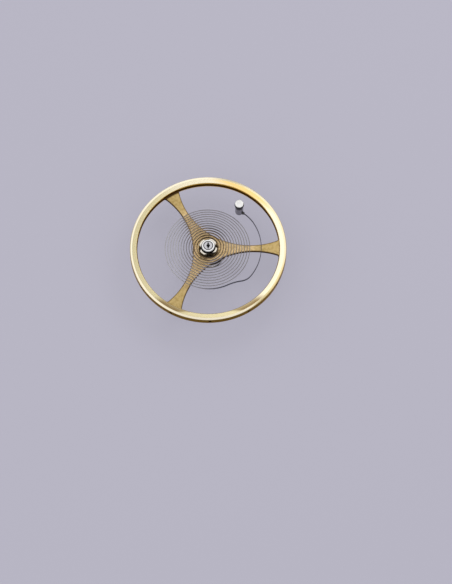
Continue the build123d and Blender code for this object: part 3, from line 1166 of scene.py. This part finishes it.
# The slot's filling is a rounded box along the spring. The bead is a round section carried
# back along the spring, its radius rising to the bead and falling to a thin tail.
def makeResin(sizes):
    places = np.array([-1, -1, -0.985, -0.94, 0.94, 0.985, 1, 1]) * sizes["slotReach"]
    scale = np.array([0, 0.86, 0.96, 1, 1, 0.96, 0.86, 0])
    path = studCentre[None] + places[:, None] * studDirection[None]
    heading = np.full(len(places), studHeading)
    bottom = sizes["slotBottom"]
    top = sizes["slotTop"]
    box = roundedBox(sizes["slotHalfWidth"], (top - bottom) / 2, sizes["slotRounding"])
    filling = carried(path, heading, box, scale, (top + bottom) / 2)

    beadPlace = sizes["beadPlace"]
    beadRadius = sizes["beadRadius"]
    tailPlace = sizes["tailPlace"]
    place = np.linspace(sizes["beadStart"], tailPlace, sizes["beadSteps"] + 1)
    share = (place - beadPlace) / beadRadius
    globe = np.sqrt(np.maximum(1 - share**2, 0)) * beadRadius
    tailShare = np.clip((tailPlace - place) / sizes["tailLength"], 0, 1)
    tail = sizes["tailRadius"] * tailShare**0.6 * (place > beadPlace)
    width = np.maximum(globe, tail)
    width[[0, -1]] = 0
    studReach = springSettings["studReach"]
    fromEnd = springLengths[-1] - (place - studReach)
    alongX = np.interp(fromEnd, springLengths, springPath[:, 0])
    alongY = np.interp(fromEnd, springLengths, springPath[:, 1])
    alongHeading = np.interp(fromEnd, springLengths, springHeadings)
    beyond = np.maximum(studReach - place, 0)
    path = np.stack([alongX, alongY], axis=-1) + beyond[:, None] * studDirection[None]
    section = towards(fullTurn(sizes["aroundSteps"]))
    bead = carried(path, alongHeading, section, width, springSettings["middle"])
    finish = resinFinish("studResin", sizes)
    body = "stud_and_spring"
    makePiece("studResin", [filling, bead], finish, body, "stud_adhesive")


makeStud(studSettings)
makeResin(resinSettings)
print("pieces made")

stageSettings = {
    "floorHalf": 400.0,
    "floorColour": (0.545, 0.53, 0.635),
    "floorSeenColour": (0.425, 0.415, 0.493),
    "floorSeenShare": 0.62,
    # the reaches and rows of the sky count in the view's direction, from -1 to 1
    "darkHorizonColour": (0.24, 0.23, 0.22),
    "skyZones": [
        ((1.0, 0.99, 0.96), ((-0.45, -0.89), -0.5, 0.0)),
        ((0.88, 0.88, 0.885), ("z", 0.3, 0.8)),
    ],
    "glowColour": (1.15, 1.15, 1.12),
    "glowBehind": (0.45, 0.65),
    "glowLeft": (-0.15, -0.35),
    "glowHeight": (0.3, 0.6),
    "backdropZones": [((0.60, 0.59, 0.66), ("z", 0.10, 0.05))],
}
lampAim = (0, 0, 2.0)
lampSettings = [
    # name, place and size in millimetres, radiance, colour
    ("keyLamp", (23, 30, 60), 44, 1.22, (1.0, 0.98, 0.94)),
    ("sideLamp", (-60, -20, 36), 30, 0.9, (0.96, 0.98, 1.0)),
]
cameraSettings = {
    "lens": 400.0,
    "sensor": 36.0,
    "clipStart": 10.0,
    "clipEnd": 10000.0,
    "picture": (452, 584),
    "pixelsPerMillimetre": 15.65,
    "azimuth": -1.4,
    "elevation": 66.3,
    "aim": (0, 0, 2.2),
    "aimPixel": (208.2, 248.15),
}


def makeFloor(stage):
    half = stage["floorHalf"] * metresPerMillimetre
    mesh = bpy.data.meshes.new("floor")
    corners = [(-half, -half, 0), (half, -half, 0), (half, half, 0), (-half, half, 0)]
    mesh.from_pydata(corners, [], [(0, 1, 2, 3)])
    # The camera, metal and glass see a share of plain paper colour; the rest keeps the shadow.
    graph = newFinish("floorPaper")
    paper = graph.node("BsdfDiffuse", {}, {"Color": stage["floorColour"]})
    shown = graph.node("Emission", {}, {"Color": stage["floorSeenColour"], "Strength": 1.0})
    seen = 0
    for ray in ("Is Camera Ray", "Is Glossy Ray", "Is Transmission Ray"):
        seen = graph.maths("MAXIMUM", seen, graph.node("LightPath", {}, {}, output=ray))
    # both shader sockets have one name, so they go by number
    sockets = {"Fac": seen * stage["floorSeenShare"], 1: paper, 2: shown}
    mixed = graph.node("MixShader", {}, sockets)
    graph.node("OutputMaterial", {}, {"Surface": mixed}, None)
    mesh.materials.append(graph.owner)
    addObject("floor", mesh)


# Even light overhead, brighter half-way up behind and on the left, and lower down a ring
# that is bright in front and dark behind on the right. A plain pale backdrop stands round
# the floor up to a few degrees.
def makeWorld(stage):
    world = bpy.data.worlds.new("softSky")
    bpy.context.scene.world = world
    graph = Graph(world)
    direction = graph.node("TexCoord", {}, {}, "Generated")
    at = dict(zip("xyz", graph.node("SeparateXYZ", {}, {"Vector": direction}, None)))
    sky = graph.paint(at, stage["darkHorizonColour"], stage["skyZones"])
    behind = graph.rise(at["y"], *stage["glowBehind"])
    left = graph.rise(at["x"], *stage["glowLeft"])
    glow = graph.maths("MAXIMUM", behind, left) * graph.rise(at["z"], *stage["glowHeight"])
    sky = graph.mix(glow, sky, stage["glowColour"])
    sky = graph.paint(at, sky, stage["backdropZones"])
    shader = graph.node("Background", {}, {"Color": sky, "Strength": 1.0})
    graph.node("OutputWorld", {}, {"Surface": shader}, None)


# A square lamp that looks at the wheel. Its power is pi times its area times its radiance.
def makeLamp(name, place, size, radiance, colour):
    lamp = bpy.data.lights.new(name, "AREA")
    lamp.size = size * metresPerMillimetre
    lamp.energy = np.pi * lamp.size**2 * radiance
    lamp.color = colour
    holder = addObject(name, lamp)
    location = Vector(place) * metresPerMillimetre
    aim = Vector(lampAim) * metresPerMillimetre
    facing = (aim - location).to_track_quat("-Z", "Y").to_matrix().to_4x4()
    holder.matrix_world = Matrix.Translation(location) @ facing


# The camera stands where the aim point falls on its pixel: it looks along the view's
# direction and is moved sideways and down by that pixel's distance from the middle.
def makeCamera(view):
    data = bpy.data.cameras.new("camera")
    data.lens = view["lens"]
    data.sensor_width = view["sensor"]
    data.clip_start = view["clipStart"] * metresPerMillimetre
    data.clip_end = view["clipEnd"] * metresPerMillimetre
    camera = addObject("camera", data)
    bpy.context.scene.camera = camera
    turn = np.radians(view["azimuth"])
    tilt = np.radians(view["elevation"])
    right = Vector((np.cos(turn), np.sin(turn), 0))
    back = Vector((np.sin(turn) * np.cos(tilt), -np.cos(turn) * np.cos(tilt), np.sin(tilt)))
    upward = back.cross(right)
    scale = view["pixelsPerMillimetre"]
    distance = max(view["picture"]) * view["lens"] / view["sensor"] / scale
    sideways, downward = (np.array(view["picture"]) / 2 - view["aimPixel"]) / scale
    place = Vector(view["aim"]) + back * distance + right * sideways - upward * downward
    rotation = Matrix((right, upward, back)).transposed().to_4x4()
    camera.matrix_world = Matrix.Translation(place * metresPerMillimetre) @ rotation


makeFloor(stageSettings)
makeWorld(stageSettings)
for lampRow in lampSettings:
    makeLamp(*lampRow)
makeCamera(cameraSettings)
bpy.context.scene.view_settings.view_transform = "Standard"
print("stage made")
